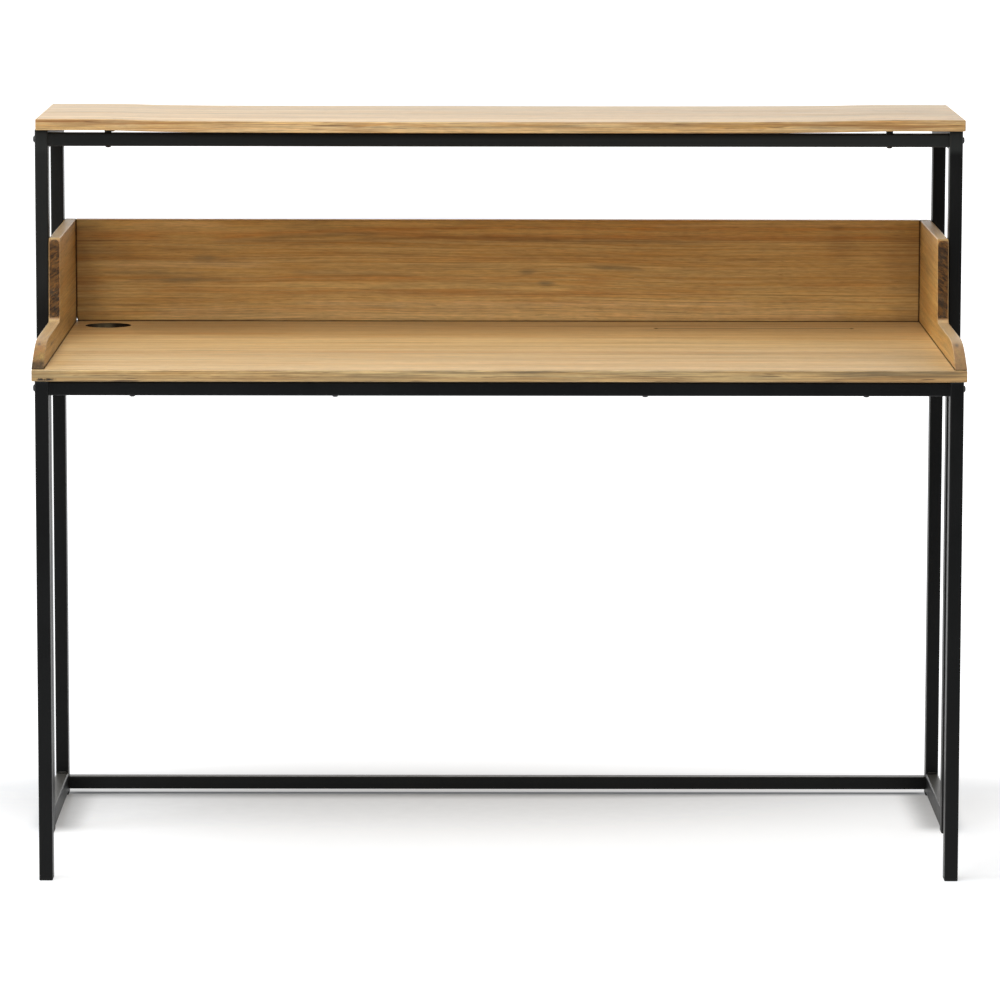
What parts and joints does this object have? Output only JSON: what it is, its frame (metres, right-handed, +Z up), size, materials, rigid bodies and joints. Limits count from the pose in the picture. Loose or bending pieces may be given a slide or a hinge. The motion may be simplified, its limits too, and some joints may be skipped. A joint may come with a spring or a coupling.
{
  "type": "writing desk with raised shelf",
  "caption": "Writing desk with a thin square-tube steel frame, a solid wood top with low shaped side cheeks and back panel, a cable hole, and a full-width raised shelf.",
  "frame": {"origin": "on the floor, under the middle of the desk's footprint", "axes": "+X to the right along the desk's width, seen by the sitter; +Y from the front edge to the back; +Z up"},
  "size_m": [1.4066, 0.7, 1.095],
  "materials": {
    "black_frame": "satin black powder coat",
    "shelf_wood": "matt clear lacquer on solid pine",
    "desktop_wood": "matt clear lacquer on solid pine",
    "cheek_wood": "matt clear lacquer on solid pine",
    "panel_wood": "matt clear lacquer on solid pine",
    "black_plastic": "moulded black plastic",
    "spacer_plastic": "moulded black plastic",
    "black_fastener": "blackened steel",
    "zinc_steel": "zinc-plated steel"
  },
  "bodies": {
    "root": {"back_panel": "panel_wood", "back_panel_screws": "black_fastener", "cheek_screws": "black_fastener", "crossbar_bolts": "black_fastener", "desk_rail_bolts": "black_fastener", "desk_screws": "black_fastener", "desk_side_spacers": "spacer_plastic", "desk_to_post_bolts": "black_fastener", "desktop_board": "desktop_wood", "front_desk_rail": "black_frame", "front_shelf_rail": "black_frame", "left_bottom_side_bar": "black_frame", "left_cheek": "cheek_wood", "left_desk_side_rail": "black_frame", "left_front_foot": "black_plastic", "left_front_leg": "black_frame", "left_middle_foot": "black_plastic", "left_middle_post": "black_frame", "left_rear_foot": "black_plastic", "left_rear_post": "black_frame", "left_side_rail_plug": "black_plastic", "left_top_side_rail": "black_frame", "leg_end_caps": "black_plastic", "post_end_caps": "black_plastic", "rail_end_inserts": "black_plastic", "rear_bottom_crossbar": "black_frame", "rear_desk_rail": "black_frame", "rear_shelf_rail": "black_frame", "right_bottom_side_bar": "black_frame", "right_cheek": "cheek_wood", "right_desk_side_rail": "black_frame", "right_front_foot": "black_plastic", "right_front_leg": "black_frame", "right_middle_foot": "black_plastic", "right_middle_post": "black_frame", "right_rear_foot": "black_plastic", "right_rear_post": "black_frame", "right_side_rail_plug": "black_plastic", "right_top_side_rail": "black_frame", "rivet_nuts": "zinc_steel", "shelf_board": "shelf_wood", "shelf_rail_bolts": "black_fastener", "shelf_screws": "black_fastener", "shelf_spacers": "spacer_plastic"}
  },
  "joints": []
}
